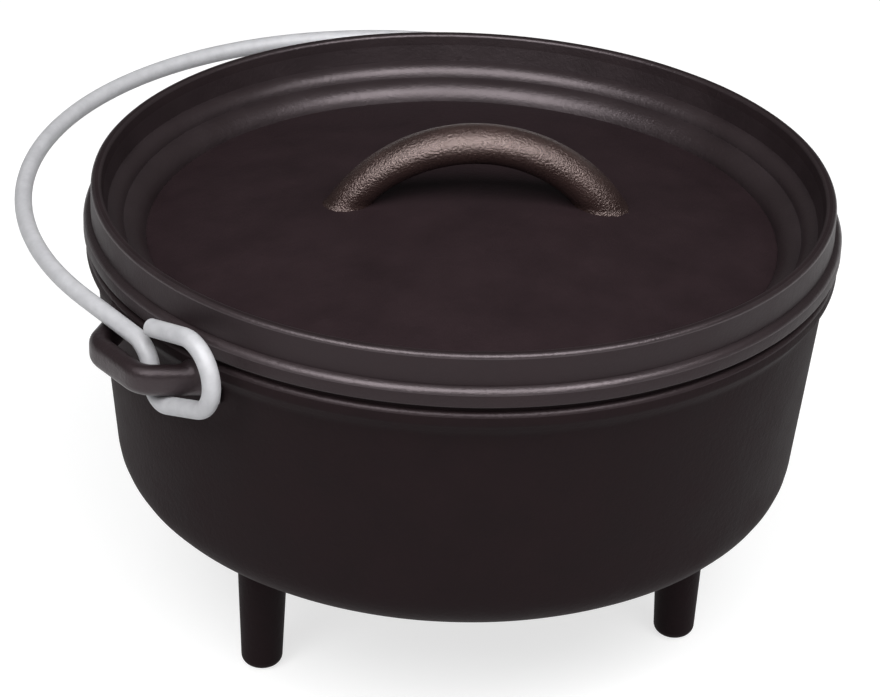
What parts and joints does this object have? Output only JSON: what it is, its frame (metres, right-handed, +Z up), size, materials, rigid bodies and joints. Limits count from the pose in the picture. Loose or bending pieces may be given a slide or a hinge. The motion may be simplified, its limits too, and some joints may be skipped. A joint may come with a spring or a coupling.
{
  "type": "camp dutch oven",
  "caption": "Cast iron camp oven: a round pot standing on short legs, a domed lid with an upright coal flange and loop handle, and a swinging wire bail.",
  "frame": {"origin": "On the pot's upright axis, at the level of the ground under the three legs.", "axes": "+Z is up. +X runs through the two ears, away from the leg that stands under an ear. +Y is the side to which the bail lies back at rest."},
  "size_m": [0.3046, 0.313, 0.1925],
  "materials": {
    "iron": "seasoned cast iron, dark brown-black, fine sand-cast grain, satin",
    "zinc": "galvanised round steel wire, pale grey, faintly mottled"
  },
  "bodies": {
    "pot": {"pot_wall": "iron", "pot_floor": "iron", "near_ear": "iron", "far_ear": "iron", "ear_leg": "iron", "front_leg": "iron", "back_leg": "iron"},
    "lid": {"lid_plate": "iron", "coal_flange": "iron", "lid_handle": "iron"},
    "bail": {"bail": "zinc"}
  },
  "joints": [
    {"name": "bail_swing", "type": "hinge", "parent": "pot", "child": "bail", "pos_m": [0, -0.01832, 0.1459], "axis": [1, 0, 0], "range_deg": [0, 210]},
    {"name": "lid_lift", "type": "slide", "parent": "pot", "child": "lid", "axis": [0, 0, 1], "range_m": [0, 0.15]}
  ]
}
